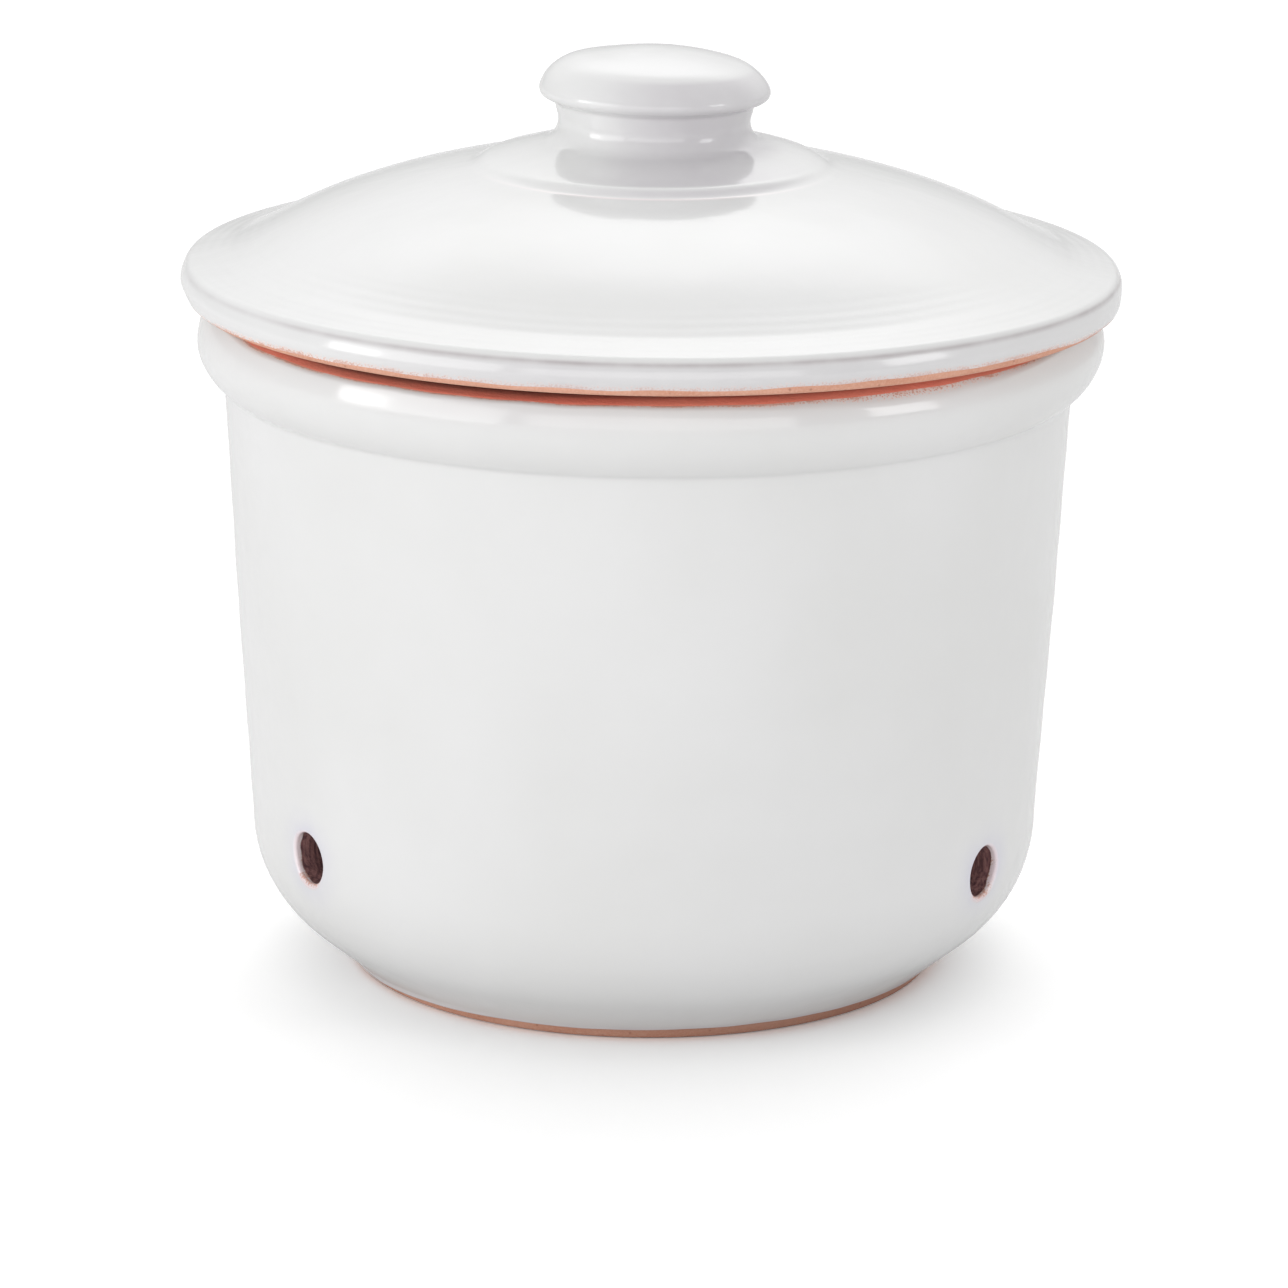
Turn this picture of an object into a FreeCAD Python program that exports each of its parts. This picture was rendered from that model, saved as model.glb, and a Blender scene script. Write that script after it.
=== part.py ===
import FreeCAD, Part
import math
import os
import Sketcher

# Garlic keeper: a round earthenware pot on a turned foot with a rolled collar,
# and a lift-off domed lid with a knob. Each of the two fired pieces is a clay
# body that carries a thin coat of white glaze on its outside. The clay is bare
# on the foot, the pot's rim, the lid's lower edge, the lid's underside and the
# pot's inside. Three round vents go through the pot's wall near the floor.
#
# Frame: +Z up, origin on the axis at the middle of the foot's resting plane,
# millimetres. The front of the pot faces -Y.

doc = FreeCAD.newDocument("garlic_keeper")

# ---------------------------------------------------------------------------
# Driving dimensions
# ---------------------------------------------------------------------------
DIMS = [
    # glaze
    ("glaze_thick", 0.4),
    # pot, outside of the glaze, from the foot upwards
    ("pot_glaze_foot_r", 51.3), ("pot_glaze_foot_z", 1.3),
    ("pot_heel_r", 51.55), ("pot_heel_z", 1.75),
    ("pot_heel_end_r", 52.4), ("pot_heel_end_z", 2.6), ("pot_heel_arc", 3.0),
    ("pot_belly_low_r", 60.0), ("pot_belly_low_z", 8.8),
    ("pot_belly_top_r", 67.85), ("pot_belly_top_z", 26.5), ("pot_belly_arc", 22.5),
    ("pot_wall_mid_r", 70.25), ("pot_wall_mid_z", 64.0),
    ("pot_wall_top_r", 72.25), ("pot_wall_top_z", 101.9),
    ("pot_collar_low_r", 72.6), ("pot_collar_low_z", 102.05),
    ("pot_collar_r", 77.2), ("pot_collar_z", 110.1), ("pot_collar_arc", 10.6),
    ("pot_glaze_rim_r", 76.0), ("pot_glaze_rim_z", 114.4), ("pot_roll_arc", 12.0),
    # pot, bare rim and inside
    ("rim_outer_r", 73.3), ("rim_height", 116.2), ("rim_roll_arc", 4.2),
    ("rim_inner_r", 70.2),
    ("mouth_top_r", 69.1), ("mouth_top_z", 115.1), ("mouth_arc", 1.15),
    ("mouth_low_r", 68.9), ("mouth_low_z", 106.0),
    ("throat_r", 66.1), ("throat_z", 100.0), ("throat_arc", 9.0),
    ("inside_low_r", 61.75), ("inside_low_z", 27.0),
    ("floor_r", 45.0), ("floor_z", 9.5), ("floor_arc", 17.3),
    # pot, foot ring
    ("foot_r", 50.2), ("foot_inner_r", 44.0),
    ("recess_r", 43.0), ("recess_z", 1.6), ("recess_arc", 1.4),
    # vents
    ("vent_diameter", 9.0),
    ("vent_left_angle", -56.3), ("vent_left_z", 27.0),
    ("vent_right_angle", 58.3), ("vent_right_z", 25.2),
    ("vent_back_angle", 180.0), ("vent_back_z", 26.1),
    ("vent_reach", 90.0),
    # lid, outside of the glaze, from the top of the knob downwards
    ("knob_top_z", 159.0),
    ("knob_crown_r", 14.2), ("knob_crown_z", 156.85),
    ("knob_r", 19.45), ("knob_z", 152.5), ("knob_side_arc", 8.93),
    ("knob_under_r", 18.4), ("knob_under_z", 150.5), ("knob_under_arc", 1.37),
    ("neck_top_r", 16.95), ("neck_top_z", 149.75),
    ("neck_r", 16.35), ("neck_z", 147.4),
    ("flare_r", 18.96), ("flare_z", 143.1), ("flare_arc", 3.7),
    ("boss_r", 28.3), ("boss_z", 140.45),
    ("boss_edge_r", 29.6), ("boss_edge_z", 139.5), ("boss_edge_arc", 1.42),
    ("dome_in_r", 30.6), ("dome_in_z", 138.85),
    ("dome_a_r", 43.5), ("dome_a_z", 136.05), ("dome_a_arc", 115.0),
    ("dome_b_r", 55.4), ("dome_b_z", 132.15), ("dome_b_arc", 103.0),
    ("dome_c_r", 66.3), ("dome_c_z", 127.0), ("dome_c_arc", 82.6),
    ("dome_low_r", 70.3), ("dome_low_z", 125.0),
    ("valley_r", 73.0), ("valley_z", 123.95), ("valley_arc", 11.8),
    ("brim_r", 78.45), ("brim_z", 122.75),
    ("lip_top_r", 79.1), ("lip_top_z", 122.15), ("lip_top_arc", 1.2),
    ("lid_r", 80.0), ("lip_z", 119.4), ("lip_arc", 7.5),
    ("lid_glaze_r", 79.85), ("lid_glaze_z", 118.1),
    # lid, bare lower edge and underside
    ("lip_low_r", 79.4), ("lip_low_z", 117.1),
    ("lip_turn_r", 78.7), ("lip_turn_z", 116.55), ("lip_turn_arc", 0.75),
    ("seat_outer_r", 76.2),
    ("seat_inner_r", 67.7),
    ("ring_root_r", 67.2), ("ring_root_z", 115.7), ("ring_root_arc", 0.52),
    ("ring_low_r", 66.9), ("ring_low_z", 109.9),
    ("ring_tip_r", 65.9), ("ring_tip_z", 108.9), ("ring_tip_arc", 1.05),
    ("ring_in_r", 63.0), ("ring_in_arc", 1.05),
    ("ring_in_low_r", 62.0), ("ring_in_low_z", 109.9),
    ("ring_in_top_r", 61.2), ("ring_in_top_z", 117.0),
    ("under_c_r", 56.5), ("under_c_z", 124.2), ("under_c_arc", 8.4),
    ("under_b_r", 43.0), ("under_b_z", 129.7), ("under_b_arc", 100.0),
    ("under_a_r", 25.0), ("under_a_z", 133.2), ("under_a_arc", 110.0),
    ("under_top_z", 134.2),
]
VAL = dict(DIMS)

sheet = doc.addObject("Spreadsheet::Sheet", "dims")
sheet.Label = "dims"
for row, (alias, value) in enumerate(DIMS, start=1):
    sheet.set("A%d" % row, alias)
    sheet.set("B%d" % row, "%g" % value)
    sheet.setAlias("B%d" % row, alias)
doc.recompute()


def cell(alias):
    """A size as (number, expression that reads the sheet)."""
    return (VAL[alias], "dims." + alias)


def shifted(alias, factor):
    """A cell less the glaze thickness times a direction factor."""
    value = VAL[alias] - VAL["glaze_thick"] * factor
    return (value, "dims.%s - dims.glaze_thick * %.6f" % (alias, factor))


ZERO = (0.0, None)
CROWN = (None, None)


class Path:
    """A run of vertices, each joined to the one before by a line or an arc.

    turn is +1 where the arc turns to the left of the way the path runs, and
    -1 where it turns to the right. An arc of size CROWN has its centre on the
    pot's axis, so that it turns into part of a sphere.
    """

    def __init__(self, radius, height):
        self.points = [(radius, height)]
        self.arcs = [None]

    def line(self, radius, height):
        self.points.append((radius, height))
        self.arcs.append(None)
        return self

    def arc(self, radius, height, size, turn):
        self.points.append((radius, height))
        self.arcs.append((size, turn))
        return self


def crown_size(a, b):
    """Radius of the arc through two points whose centre is on the axis."""
    rise = abs(a[1] - b[1])
    reach = max(a[0], b[0])
    return (reach * reach + rise * rise) / (2.0 * rise)


def arc_centre(a, b, size, turn):
    dx, dy = b[0] - a[0], b[1] - a[1]
    chord = math.hypot(dx, dy)
    if size < chord / 2.0:
        raise ValueError("arc radius %.3f under half its chord %.3f" % (size, chord))
    rise = math.sqrt(size * size - chord * chord / 4.0)
    return ((a[0] + b[0]) / 2.0 - turn * dy / chord * rise,
            (a[1] + b[1]) / 2.0 + turn * dx / chord * rise)


def tangents(path):
    """Direction in and out at every vertex, as angles."""
    pts = [(p[0][0], p[1][0]) for p in path.points]
    ins, outs = [None] * len(pts), [None] * len(pts)
    for k in range(1, len(pts)):
        a, b = pts[k - 1], pts[k]
        chord = math.atan2(b[1] - a[1], b[0] - a[0])
        half = 0.0
        if path.arcs[k]:
            size, turn = path.arcs[k]
            value = crown_size(a, b) if size is CROWN else size[0]
            half = turn * math.asin(math.hypot(b[0] - a[0], b[1] - a[1]) / 2.0 / value)
        outs[k - 1] = chord - half
        ins[k] = chord + half
    return ins, outs


def inner_path(aliases, path, side):
    """The clay surface under a glazed path: every vertex moved in by the
    glaze thickness, along the mitre of its two neighbours, and every arc's
    radius changed by the same amount. side is +1 where the clay lies to the
    left of the way the path runs."""
    ins, outs = tangents(path)
    result = None
    for k, (alias_r, alias_z) in enumerate(aliases):
        on_axis = alias_r is None
        a_in = ins[k] if ins[k] is not None else outs[k]
        a_out = outs[k] if outs[k] is not None else ins[k]
        mean = math.atan2(math.sin(a_in) + math.sin(a_out), math.cos(a_in) + math.cos(a_out))
        gain = 1.0 / max(0.5, math.cos((a_out - a_in) / 2.0))
        nr = -math.sin(mean) * side * gain
        nz = math.cos(mean) * side * gain
        if on_axis:
            nr, nz = 0.0, side * math.cos(a_out)
        if k == 0 and not on_axis or k == len(aliases) - 1:
            # the glaze ends square to the axis here
            nr, nz = math.copysign(1.0, nr), 0.0
        radius = ZERO if on_axis else shifted(alias_r, -nr)
        height = cell(alias_z) if nz == 0.0 else shifted(alias_z, -nz)
        if result is None:
            result = Path(radius, height)
        elif path.arcs[k] is None:
            result.line(radius, height)
        else:
            size, turn = path.arcs[k]
            if size is CROWN:
                result.arc(radius, height, CROWN, turn)
                continue
            grow = -turn * side
            value = size[0] + grow * VAL["glaze_thick"]
            result.arc(radius, height,
                       (value, "%s %s dims.glaze_thick" % (size[1], "+" if grow > 0 else "-")), turn)
    return result


def joined(first, *others):
    """Paths end to end, each start joined to the end before it."""
    out = Path(*first.points[0])
    out.points = list(first.points)
    out.arcs = list(first.arcs)
    for other in others:
        out.points += other.points
        out.arcs += other.arcs
    return out


def reversed_path(path):
    out = Path(*path.points[-1])
    for k in range(len(path.points) - 1, 0, -1):
        radius, height = path.points[k - 1]
        if path.arcs[k] is None:
            out.line(radius, height)
        else:
            size, turn = path.arcs[k]
            out.arc(radius, height, size, -turn)
    return out


def plane(body, role):
    for feature in body.Origin.OriginFeatures:
        if feature.Role == role:
            return feature
    raise RuntimeError("no " + role)


def profile_sketch(body, name, path):
    """Closed sketch on the XZ plane, X the radius and Y the height, with every
    vertex and arc bound to the sheet."""
    sketch = body.newObject("Sketcher::SketchObject", name)
    sketch.AttachmentSupport = (plane(body, "XZ_Plane"), [""])
    sketch.MapMode = "FlatFace"
    pts = [(p[0][0], p[1][0]) for p in path.points]
    count = len(pts)
    starts, ends = [], []
    radii = []
    for k in range(count):
        nxt = (k + 1) % count
        a, b = pts[k], pts[nxt]
        arc = path.arcs[nxt] if nxt else None
        if arc is None:
            sketch.addGeometry(Part.LineSegment(FreeCAD.Vector(a[0], a[1], 0),
                                                FreeCAD.Vector(b[0], b[1], 0)), False)
            starts.append((k, 1))
            ends.append((k, 2))
        else:
            size, turn = arc
            value = crown_size(a, b) if size is CROWN else size[0]
            centre = arc_centre(a, b, value, turn)
            circle = Part.Circle(FreeCAD.Vector(centre[0], centre[1], 0),
                                 FreeCAD.Vector(0, 0, 1), value)
            first, last = (a, b) if turn > 0 else (b, a)
            a0 = math.atan2(first[1] - centre[1], first[0] - centre[0])
            a1 = math.atan2(last[1] - centre[1], last[0] - centre[0])
            if a1 < a0:
                a1 += 2 * math.pi
            sketch.addGeometry(Part.ArcOfCircle(circle, a0, a1), False)
            starts.append((k, 1) if turn > 0 else (k, 2))
            ends.append((k, 2) if turn > 0 else (k, 1))
            radii.append((k, size))
    for k in range(count):
        geo, pos = ends[k]
        geo2, pos2 = starts[(k + 1) % count]
        sketch.addConstraint(Sketcher.Constraint("Coincident", geo, pos, geo2, pos2))
    for k, (radius, height) in enumerate(path.points):
        geo, pos = starts[k]
        if radius[1] is None:
            sketch.addConstraint(Sketcher.Constraint("PointOnObject", geo, pos, -2))
        else:
            index = sketch.addConstraint(
                Sketcher.Constraint("DistanceX", -1, 1, geo, pos, radius[0]))
            sketch.setExpression("Constraints[%d]" % index, radius[1])
        if height[1] is None:
            sketch.addConstraint(Sketcher.Constraint("PointOnObject", geo, pos, -1))
        else:
            index = sketch.addConstraint(
                Sketcher.Constraint("DistanceY", -1, 1, geo, pos, height[0]))
            sketch.setExpression("Constraints[%d]" % index, height[1])
    for geo, size in radii:
        if size is CROWN:
            sketch.addConstraint(Sketcher.Constraint("PointOnObject", geo, 3, -2))
            continue
        index = sketch.addConstraint(Sketcher.Constraint("Radius", geo, size[0]))
        sketch.setExpression("Constraints[%d]" % index, size[1])
    return sketch


def turned_body(label, path):
    """A body of revolution about the pot's axis."""
    body = doc.addObject("PartDesign::Body", label)
    body.Label = label
    body.Placement = FreeCAD.Placement()
    sketch = profile_sketch(body, label + "_profile", path)
    doc.recompute()
    turned = body.newObject("PartDesign::Revolution", label + "_turned")
    turned.Profile = sketch
    turned.ReferenceAxis = (sketch, ["V_Axis"])
    turned.Angle = 360.0
    doc.recompute()
    body.Tip = turned
    return body


def pierce(body, side):
    """One round vent straight through the wall at its own angle and height."""
    before = body.Shape.Volume
    sketch = body.newObject("Sketcher::SketchObject", "%s_vent_%s" % (body.Label, side))
    sketch.AttachmentSupport = (plane(body, "XZ_Plane"), [""])
    sketch.MapMode = "FlatFace"
    angle = VAL["vent_%s_angle" % side]
    sketch.AttachmentOffset = FreeCAD.Placement(
        FreeCAD.Vector(0, 0, 0), FreeCAD.Rotation(FreeCAD.Vector(0, 1, 0), angle))
    sketch.setExpression("AttachmentOffset.Rotation.Angle", "dims.vent_%s_angle" % side)
    sketch.addGeometry(Part.Circle(FreeCAD.Vector(0, VAL["vent_%s_z" % side], 0),
                                   FreeCAD.Vector(0, 0, 1), VAL["vent_diameter"] / 2.0), False)
    sketch.addConstraint(Sketcher.Constraint("PointOnObject", 0, 3, -2))
    index = sketch.addConstraint(
        Sketcher.Constraint("DistanceY", -1, 1, 0, 3, VAL["vent_%s_z" % side]))
    sketch.setExpression("Constraints[%d]" % index, "dims.vent_%s_z" % side)
    index = sketch.addConstraint(
        Sketcher.Constraint("Diameter", 0, VAL["vent_diameter"]))
    sketch.setExpression("Constraints[%d]" % index, "dims.vent_diameter")
    doc.recompute()
    pocket = body.newObject("PartDesign::Pocket", "%s_vent_%s_hole" % (body.Label, side))
    pocket.Profile = sketch
    pocket.Type = "Length"
    pocket.Length = VAL["vent_reach"]
    pocket.setExpression("Length", "dims.vent_reach")
    pocket.Reversed = True
    doc.recompute()
    body.Tip = pocket
    after = body.Shape.Volume
    if not after < before - 5.0:
        raise RuntimeError("%s: vent %s cuts nothing" % (body.Label, side))
    return before - after


# ---------------------------------------------------------------------------
# Glazed surfaces
# ---------------------------------------------------------------------------
POT_KEYS = [("pot_glaze_foot_r", "pot_glaze_foot_z"), ("pot_heel_r", "pot_heel_z"),
            ("pot_heel_end_r", "pot_heel_end_z"), ("pot_belly_low_r", "pot_belly_low_z"),
            ("pot_belly_top_r", "pot_belly_top_z"), ("pot_wall_mid_r", "pot_wall_mid_z"),
            ("pot_wall_top_r", "pot_wall_top_z"), ("pot_collar_low_r", "pot_collar_low_z"),
            ("pot_collar_r", "pot_collar_z"), ("pot_glaze_rim_r", "pot_glaze_rim_z")]
# arc size and turn on the way to each vertex; None is a straight run
POT_ARCS = [None, None, ("pot_heel_arc", -1), None, ("pot_belly_arc", 1), None, None, None,
            ("pot_collar_arc", 1), ("pot_roll_arc", 1)]

LID_KEYS = [(None, "knob_top_z"), ("knob_crown_r", "knob_crown_z"), ("knob_r", "knob_z"),
            ("knob_under_r", "knob_under_z"), ("neck_top_r", "neck_top_z"), ("neck_r", "neck_z"),
            ("flare_r", "flare_z"), ("boss_r", "boss_z"), ("boss_edge_r", "boss_edge_z"),
            ("dome_in_r", "dome_in_z"), ("dome_a_r", "dome_a_z"), ("dome_b_r", "dome_b_z"),
            ("dome_c_r", "dome_c_z"), ("dome_low_r", "dome_low_z"), ("valley_r", "valley_z"),
            ("brim_r", "brim_z"), ("lip_top_r", "lip_top_z"), ("lid_r", "lip_z"),
            ("lid_glaze_r", "lid_glaze_z")]
LID_ARCS = [None, (CROWN, -1), ("knob_side_arc", -1), ("knob_under_arc", -1), None, None,
            ("flare_arc", 1), None, ("boss_edge_arc", -1), None, ("dome_a_arc", -1),
            ("dome_b_arc", -1), ("dome_c_arc", -1), None, ("valley_arc", 1), None,
            ("lip_top_arc", -1), ("lip_arc", -1), None]


def outer_path(keys, arcs):
    path = None
    for (alias_r, alias_z), arc in zip(keys, arcs):
        radius = ZERO if alias_r is None else cell(alias_r)
        if path is None:
            path = Path(radius, cell(alias_z))
        elif arc is None:
            path.line(radius, cell(alias_z))
        else:
            size = CROWN if arc[0] is CROWN else cell(arc[0])
            path.arc(radius, cell(alias_z), size, arc[1])
    return path


pot_skin = outer_path(POT_KEYS, POT_ARCS)
pot_under_skin = inner_path(POT_KEYS, pot_skin, 1)
lid_skin = outer_path(LID_KEYS, LID_ARCS)
lid_under_skin = inner_path(LID_KEYS, lid_skin, -1)

# ---------------------------------------------------------------------------
# Pot: clay body
# ---------------------------------------------------------------------------
pot_inside = Path(cell("rim_outer_r"), cell("rim_height"))
pot_inside.arcs[0] = (cell("rim_roll_arc"), 1)
pot_inside.line(cell("rim_inner_r"), cell("rim_height"))
pot_inside.arc(cell("mouth_top_r"), cell("mouth_top_z"), cell("mouth_arc"), 1)
pot_inside.line(cell("mouth_low_r"), cell("mouth_low_z"))
pot_inside.arc(cell("throat_r"), cell("throat_z"), cell("throat_arc"), -1)
pot_inside.line(cell("inside_low_r"), cell("inside_low_z"))
pot_inside.arc(cell("floor_r"), cell("floor_z"), cell("floor_arc"), -1)
pot_inside.line(ZERO, cell("floor_z"))
pot_inside.line(ZERO, cell("recess_z"))
pot_inside.line(cell("recess_r"), cell("recess_z"))
pot_inside.arc(cell("foot_inner_r"), ZERO, cell("recess_arc"), -1)
pot_inside.line(cell("foot_r"), ZERO)
pot_clay = turned_body("pot_clay", joined(pot_under_skin, pot_inside))

# Pot: glaze coat over the outside, from just above the foot to the rim's roll
pot_glaze = turned_body("pot_glaze", joined(pot_skin, reversed_path(pot_under_skin)))

# ---------------------------------------------------------------------------
# Lid: clay body with knob, seat and locating ring
# ---------------------------------------------------------------------------
lid_below = Path(cell("lip_low_r"), cell("lip_low_z"))
lid_below.arc(cell("lip_turn_r"), cell("lip_turn_z"), cell("lip_turn_arc"), -1)
lid_below.line(cell("seat_outer_r"), cell("rim_height"))
lid_below.line(cell("seat_inner_r"), cell("rim_height"))
lid_below.arc(cell("ring_root_r"), cell("ring_root_z"), cell("ring_root_arc"), 1)
lid_below.line(cell("ring_low_r"), cell("ring_low_z"))
lid_below.arc(cell("ring_tip_r"), cell("ring_tip_z"), cell("ring_tip_arc"), -1)
lid_below.line(cell("ring_in_r"), cell("ring_tip_z"))
lid_below.arc(cell("ring_in_low_r"), cell("ring_in_low_z"), cell("ring_in_arc"), -1)
lid_below.line(cell("ring_in_top_r"), cell("ring_in_top_z"))
lid_below.arc(cell("under_c_r"), cell("under_c_z"), cell("under_c_arc"), 1)
lid_below.arc(cell("under_b_r"), cell("under_b_z"), cell("under_b_arc"), 1)
lid_below.arc(cell("under_a_r"), cell("under_a_z"), cell("under_a_arc"), 1)
lid_below.arc(ZERO, cell("under_top_z"), CROWN, 1)
lid_clay = turned_body("lid_clay", joined(lid_under_skin, lid_below))

# Lid: glaze coat over knob, dome, brim and lip
lid_glaze = turned_body("lid_glaze", joined(lid_skin, reversed_path(lid_under_skin)))

# ---------------------------------------------------------------------------
# Vents, drilled through clay and glaze alike
# ---------------------------------------------------------------------------
for body in (pot_clay, pot_glaze):
    for side in ("left", "right", "back"):
        cut = pierce(body, side)
        print("%s vent %s removes %.1f mm3" % (body.Label, side, cut))

doc.recompute()

# ---------------------------------------------------------------------------
# Checks and files
# ---------------------------------------------------------------------------
for obj in doc.Objects:
    for word in obj.State:
        if word in ("Invalid", "Error"):
            raise RuntimeError("%s is %s" % (obj.Name, word))

bodies = [pot_clay, pot_glaze, lid_clay, lid_glaze]
for body in bodies:
    shape = body.Shape
    if shape.isNull() or not shape.isValid() or len(shape.Solids) != 1:
        raise RuntimeError("%s has no single valid solid" % body.Label)
    box = shape.BoundBox
    print("%-10s volume %10.1f mm3  x %.2f..%.2f  z %.2f..%.2f" % (
        body.Label, shape.Volume, box.XMin, box.XMax, box.ZMin, box.ZMax))

os.makedirs("parts", exist_ok=True)
for body in bodies:
    body.Shape.exportStep("parts/%s.step" % body.Label)
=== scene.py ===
import math

import bmesh
import bpy
import numpy as np
from mathutils import Matrix, Vector


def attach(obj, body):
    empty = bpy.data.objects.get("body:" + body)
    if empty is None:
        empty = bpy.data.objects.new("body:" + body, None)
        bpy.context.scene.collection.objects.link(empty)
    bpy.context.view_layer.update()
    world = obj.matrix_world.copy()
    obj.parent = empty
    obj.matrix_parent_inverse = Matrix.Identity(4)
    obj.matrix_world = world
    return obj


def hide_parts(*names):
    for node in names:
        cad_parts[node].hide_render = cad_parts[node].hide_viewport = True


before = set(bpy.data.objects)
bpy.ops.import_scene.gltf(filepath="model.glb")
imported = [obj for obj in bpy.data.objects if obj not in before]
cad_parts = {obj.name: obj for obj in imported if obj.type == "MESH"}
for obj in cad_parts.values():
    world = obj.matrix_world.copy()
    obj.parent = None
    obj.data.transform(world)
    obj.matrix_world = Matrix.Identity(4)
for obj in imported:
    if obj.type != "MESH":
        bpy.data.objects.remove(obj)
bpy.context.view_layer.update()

# Garlic keeper. The four CAD nodes (clay and glaze of the pot, clay and glaze
# of the lid) are plain turned shapes. Here each one is replaced by a finer
# mesh of the same size: softened corners, a glaze that thins, waves and rolls
# over its edges, vents with a rolled and lined edge, and a lid that sits a
# hair crooked on a rim that is not quite flat. Lengths below are millimetres
# until the meshes are made.

COLS = 256          # columns round the axis
STEP = 0.05         # spacing of the points that a profile is worked out on
GLAZE = 0.4
CROWN = "crown"     # an arc whose centre is on the axis

# ---------------------------------------------------------------------------
# Profiles, as (radius, height) or (radius, height, arc radius, turn)
# ---------------------------------------------------------------------------
POT_SKIN = [(51.3, 1.3), (51.55, 1.75), (52.4, 2.6, 3.0, -1), (60.0, 8.8),
            (67.85, 26.5, 22.5, 1), (70.25, 64.0), (72.25, 101.9), (72.6, 102.05),
            (77.2, 110.1, 10.6, 1), (76.0, 114.4, 12.0, 1)]
POT_FOOT = [(0.0, 1.6), (43.0, 1.6), (44.0, 0.0, 1.4, -1), (50.2, 0.0), (50.9, 1.3)]
POT_TOP = [(75.6, 114.4), (73.3, 116.2, 4.2, 1), (70.2, 116.2), (69.1, 115.1, 1.15, 1),
           (68.9, 106.0), (66.1, 100.0, 9.0, -1), (61.75, 27.0), (45.0, 9.5, 17.3, -1),
           (0.0, 9.5)]

LID_SKIN = [(0.0, 159.0), (14.2, 156.85, CROWN, -1), (19.45, 152.5, 8.93, -1),
            (18.4, 150.5, 1.37, -1), (16.95, 149.75), (16.35, 147.4), (18.96, 143.1, 3.7, 1),
            (28.3, 140.45), (29.6, 139.5, 1.42, -1), (30.6, 138.85), (43.5, 136.05, 115.0, -1),
            (55.4, 132.15, 103.0, -1), (66.3, 127.0, 82.6, -1), (70.3, 125.0),
            (73.0, 123.95, 11.8, 1), (78.45, 122.75), (79.1, 122.15, 1.2, -1),
            (80.0, 119.4, 7.5, -1), (79.85, 118.1)]
LID_UNDER = [(79.45, 118.1), (79.4, 117.1), (78.7, 116.55, 0.75, -1), (76.2, 116.2),
             (67.7, 116.2), (67.2, 115.7, 0.52, 1), (66.9, 109.9), (65.9, 108.9, 1.05, -1),
             (63.0, 108.9), (62.0, 109.9, 1.05, -1), (61.2, 117.0), (56.5, 124.2, 8.4, 1),
             (43.0, 129.7, 100.0, 1), (25.0, 133.2, 110.0, 1), (0.0, 134.2, CROWN, 1)]

# azimuth (0 is the front, to the right is positive) and height
VENTS = [(-56.3, 27.0), (58.3, 25.2), (180.0, 26.1)]
VENT_R = 4.5
BLOCK_LOW, BLOCK_HIGH, BLOCK_ROWS, BLOCK_HALF = 16.5, 36.5, 12, 6


def smooth(x):
    x = np.clip(x, 0.0, 1.0)
    return x * x * (3.0 - 2.0 * x)


def run_points(vertices):
    points = [np.array(vertices[0][:2])]
    knots = [0]
    for before, here in zip(vertices, vertices[1:]):
        a, b = np.array(before[:2]), np.array(here[:2])
        if len(here) == 2:
            count = max(1, int(round(np.hypot(*(b - a)) / STEP)))
            points.extend(a + (b - a) * t for t in np.linspace(0, 1, count + 1)[1:])
        else:
            size, turn = here[2:]
            chord = np.hypot(*(b - a))
            if size == CROWN:
                rise, reach = abs(a[1] - b[1]), max(a[0], b[0])
                size = (reach * reach + rise * rise) / (2.0 * rise)
            up = math.sqrt(size * size - chord * chord / 4.0)
            centre = (a + b) / 2.0 + turn * up * np.array([-(b - a)[1], (b - a)[0]]) / chord
            a0 = math.atan2(*(a - centre)[::-1])
            sweep = math.atan2(*(b - centre)[::-1]) - a0
            sweep = (sweep + math.pi) % (2 * math.pi) - math.pi
            count = max(2, int(round(abs(sweep) * size / STEP)))
            points.extend(centre + size * np.array([math.cos(a0 + sweep * t), math.sin(a0 + sweep * t)])
                          for t in np.linspace(0, 1, count + 1)[1:])
        knots.append(len(points) - 1)
    return np.array(points), knots


def lengths(points):
    return np.concatenate([[0.0], np.cumsum(np.hypot(*np.diff(points, axis=0).T))])


def soften(points, sigma, axis_start=False, axis_end=False):
    """Blurs a line of evenly spaced points along itself; sigma in mm, one
    number or one per point. An end on the axis is mirrored in it, and any
    other end runs on straight."""
    sigma = np.broadcast_to(sigma, len(points)).astype(float)
    reach = int(math.ceil(3.0 * sigma.max() / STEP))
    count = np.arange(1, reach + 1)

    def beyond(line, on_axis):
        if on_axis:
            return line[count] * np.array([-1.0, 1.0])
        way = (line[0] - line[4]) / 4.0
        return line[0] + way * count[:, None]

    padded = np.vstack([beyond(points, axis_start)[::-1], points, beyond(points[::-1], axis_end)])
    total = np.zeros_like(points)
    weight = np.zeros(len(points))
    for k in range(-reach, reach + 1):
        w = np.exp(-0.5 * (k * STEP / np.maximum(sigma, 1e-6)) ** 2)
        total += w[:, None] * padded[reach + k:reach + k + len(points)]
        weight += w
    return total / weight[:, None]


def normals(points, side):
    """Unit normals of a line in the (radius, height) plane. side is 1 where
    outside is to the right of the way the line runs."""
    way = np.gradient(points, axis=0)
    way /= np.maximum(np.hypot(*way.T), 1e-12)[:, None]
    return side * np.stack([way[:, 1], -way[:, 0]], axis=1)


def waves(theta, seed, low, high, size):
    """A smooth closed ripple round the axis, about size mm each way."""
    rng = np.random.default_rng(seed)
    total = np.zeros_like(theta)
    for k in range(low, high + 1):
        total += rng.normal() * np.cos(k * theta + rng.uniform(0, 2 * math.pi)) / math.sqrt(high - low + 1)
    return size * total


THETA = 2.0 * math.pi * np.arange(COLS) / COLS      # 0 faces -Y, and it turns towards +X


def bump_at(theta, middle, width):
    """A bell round the axis, angles in degrees."""
    away = (np.degrees(theta) - middle + 180.0) % 360.0 - 180.0
    return np.exp(-0.5 * (away / width) ** 2)


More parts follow.
